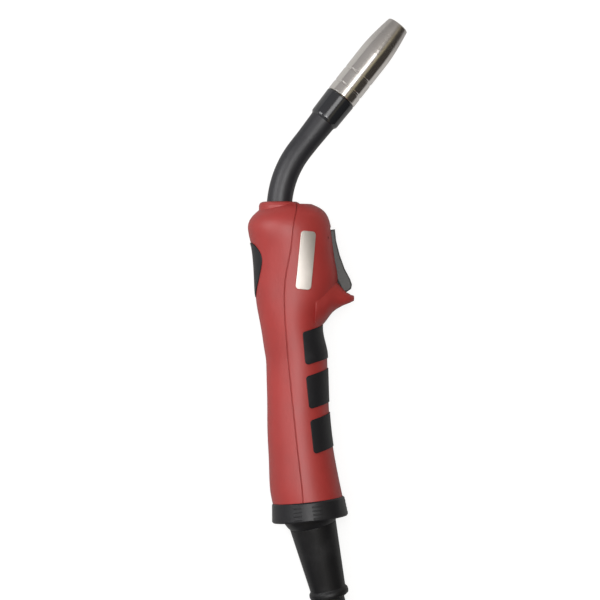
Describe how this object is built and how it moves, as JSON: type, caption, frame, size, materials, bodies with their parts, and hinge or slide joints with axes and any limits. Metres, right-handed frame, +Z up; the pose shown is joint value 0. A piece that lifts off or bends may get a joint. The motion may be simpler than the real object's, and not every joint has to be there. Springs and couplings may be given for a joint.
{
  "type": "mig welding torch",
  "caption": "Air-cooled MIG welding torch lying on its side: two-shell handle with trigger, bent neck, gas nozzle, ball-jointed cable support, coiled cable and central plug.",
  "frame": {"origin": "middle of the torch's bounding box without its cable, on the surface it lies on", "axes": "+Y along the handle towards the nozzle, +X to the trigger side, +Z up out of the surface"},
  "size_m": [0.2488, 0.6138, 0.046],
  "materials": {
    "red_shell": "fine moulded texture, red glass-filled nylon",
    "soft_grip": "soft moulded grip",
    "plate": "brushed plate, blank",
    "trigger_grey": "satin grey nylon",
    "black_plastic": "satin black nylon",
    "white_plastic": "natural acetal",
    "rubber": "moulded rubber",
    "cable_jacket": "extruded rubber jacket",
    "neck_sleeve": "matt heat-resistant sleeve",
    "nozzle_plate": "nickel-plated copper, turned",
    "steel": "zinc-plated",
    "brass": "turned",
    "copper": "turned copper",
    "insulator": "glass-fibre tube",
    "wire_skin": "PVC",
    "strap": "hook-and-loop tape"
  },
  "bodies": {
    "cable_side": {"knuckle_ball": "black_plastic", "cable_boot": "rubber", "cable_root": "cable_jacket", "cable_lead": "cable_jacket", "cable_coil": "cable_jacket", "cable_tail": "cable_jacket", "coil_ties": "strap", "plug_boot": "rubber", "plug_housing_upper": "black_plastic", "plug_housing_lower": "black_plastic", "plug_screws": "steel", "plug_crimp": "copper", "plug_body": "brass", "plug_flange": "black_plastic", "plug_o_ring": "rubber"},
    "liner": {"ball_liner": "white_plastic"},
    "handle": {"ball_cage": "black_plastic", "cable_core": "cable_jacket", "cable_ferrule": "copper", "contact_tip": "copper", "front_shell": "red_shell", "grip_pad_lower": "soft_grip", "grip_pad_middle": "soft_grip", "grip_pad_upper": "soft_grip", "lead_splices": "wire_skin", "lock_collar": "black_plastic", "name_plate": "plate", "neck_block": "brass", "neck_bush": "black_plastic", "neck_conductor": "copper", "neck_insulation": "neck_sleeve", "neck_nut": "brass", "neck_o_ring": "rubber", "nozzle_spring": "steel", "rear_shell": "red_shell", "shell_screws": "steel", "switch_body": "black_plastic", "switch_carrier": "white_plastic", "switch_leads": "wire_skin", "switch_terminals": "brass", "thumb_pad": "soft_grip", "tip_holder": "brass", "trigger_pin": "steel", "trigger_spring": "steel", "wire_liner": "steel"},
    "trigger": {"trigger": "trigger_grey"},
    "plunger": {"switch_plunger": "white_plastic"},
    "nozzle": {"gas_nozzle": "nozzle_plate", "nozzle_insulator": "insulator", "nozzle_bush": "brass"},
    "plug_nut": {"plug_nut": "black_plastic"},
    "pin_a": {"control_pin_a": "brass"},
    "pin_b": {"control_pin_b": "brass"}
  },
  "joints": [
    {"name": "cable_swing", "type": "hinge", "parent": "cable_side", "child": "liner", "pos_m": [-0.01085, -0.11305, 0.0218], "axis": [0, 0, 1], "range_deg": [-2.2, 17.8]},
    {"name": "cable_lift", "type": "hinge", "parent": "liner", "child": "handle", "pos_m": [-0.01085, -0.11305, 0.0218], "axis": [0.9938, 0.1109, 0], "range_deg": [-5, 15]},
    {"name": "trigger_pull", "type": "hinge", "parent": "handle", "child": "trigger", "pos_m": [-0.00325, 0.04075, 0.0218], "axis": [0, 0, -1], "range_deg": [0, 7], "stiffness_Nm_per_rad": 0.6, "springref_deg": -5.73, "deforming": ["trigger_spring"]},
    {"name": "plunger_travel", "type": "slide", "parent": "handle", "child": "plunger", "axis": [-1, 0, 0], "range_m": [0, 0.0016]},
    {"name": "nozzle_pull", "type": "slide", "parent": "handle", "child": "nozzle", "axis": [0.6225, 0.7826, 0], "range_m": [0, 0.06]},
    {"name": "plug_nut_turn", "type": "hinge", "parent": "cable_side", "child": "plug_nut", "pos_m": [-0.16685, -0.42405, 0.023], "axis": [-1, 0, 0], "continuous": true},
    {"name": "pin_a_travel", "type": "slide", "parent": "cable_side", "child": "pin_a", "axis": [1, 0, 0], "range_m": [0, 0.0035], "stiffness_N_per_m": 300, "springref_m": -0.002},
    {"name": "pin_b_travel", "type": "slide", "parent": "cable_side", "child": "pin_b", "axis": [1, 0, 0], "range_m": [0, 0.0035], "stiffness_N_per_m": 300, "springref_m": -0.002}
  ],
  "couplings": [
    {"joint": "plunger_travel", "follows": "trigger_pull", "m_per_rad": 0.012}
  ]
}
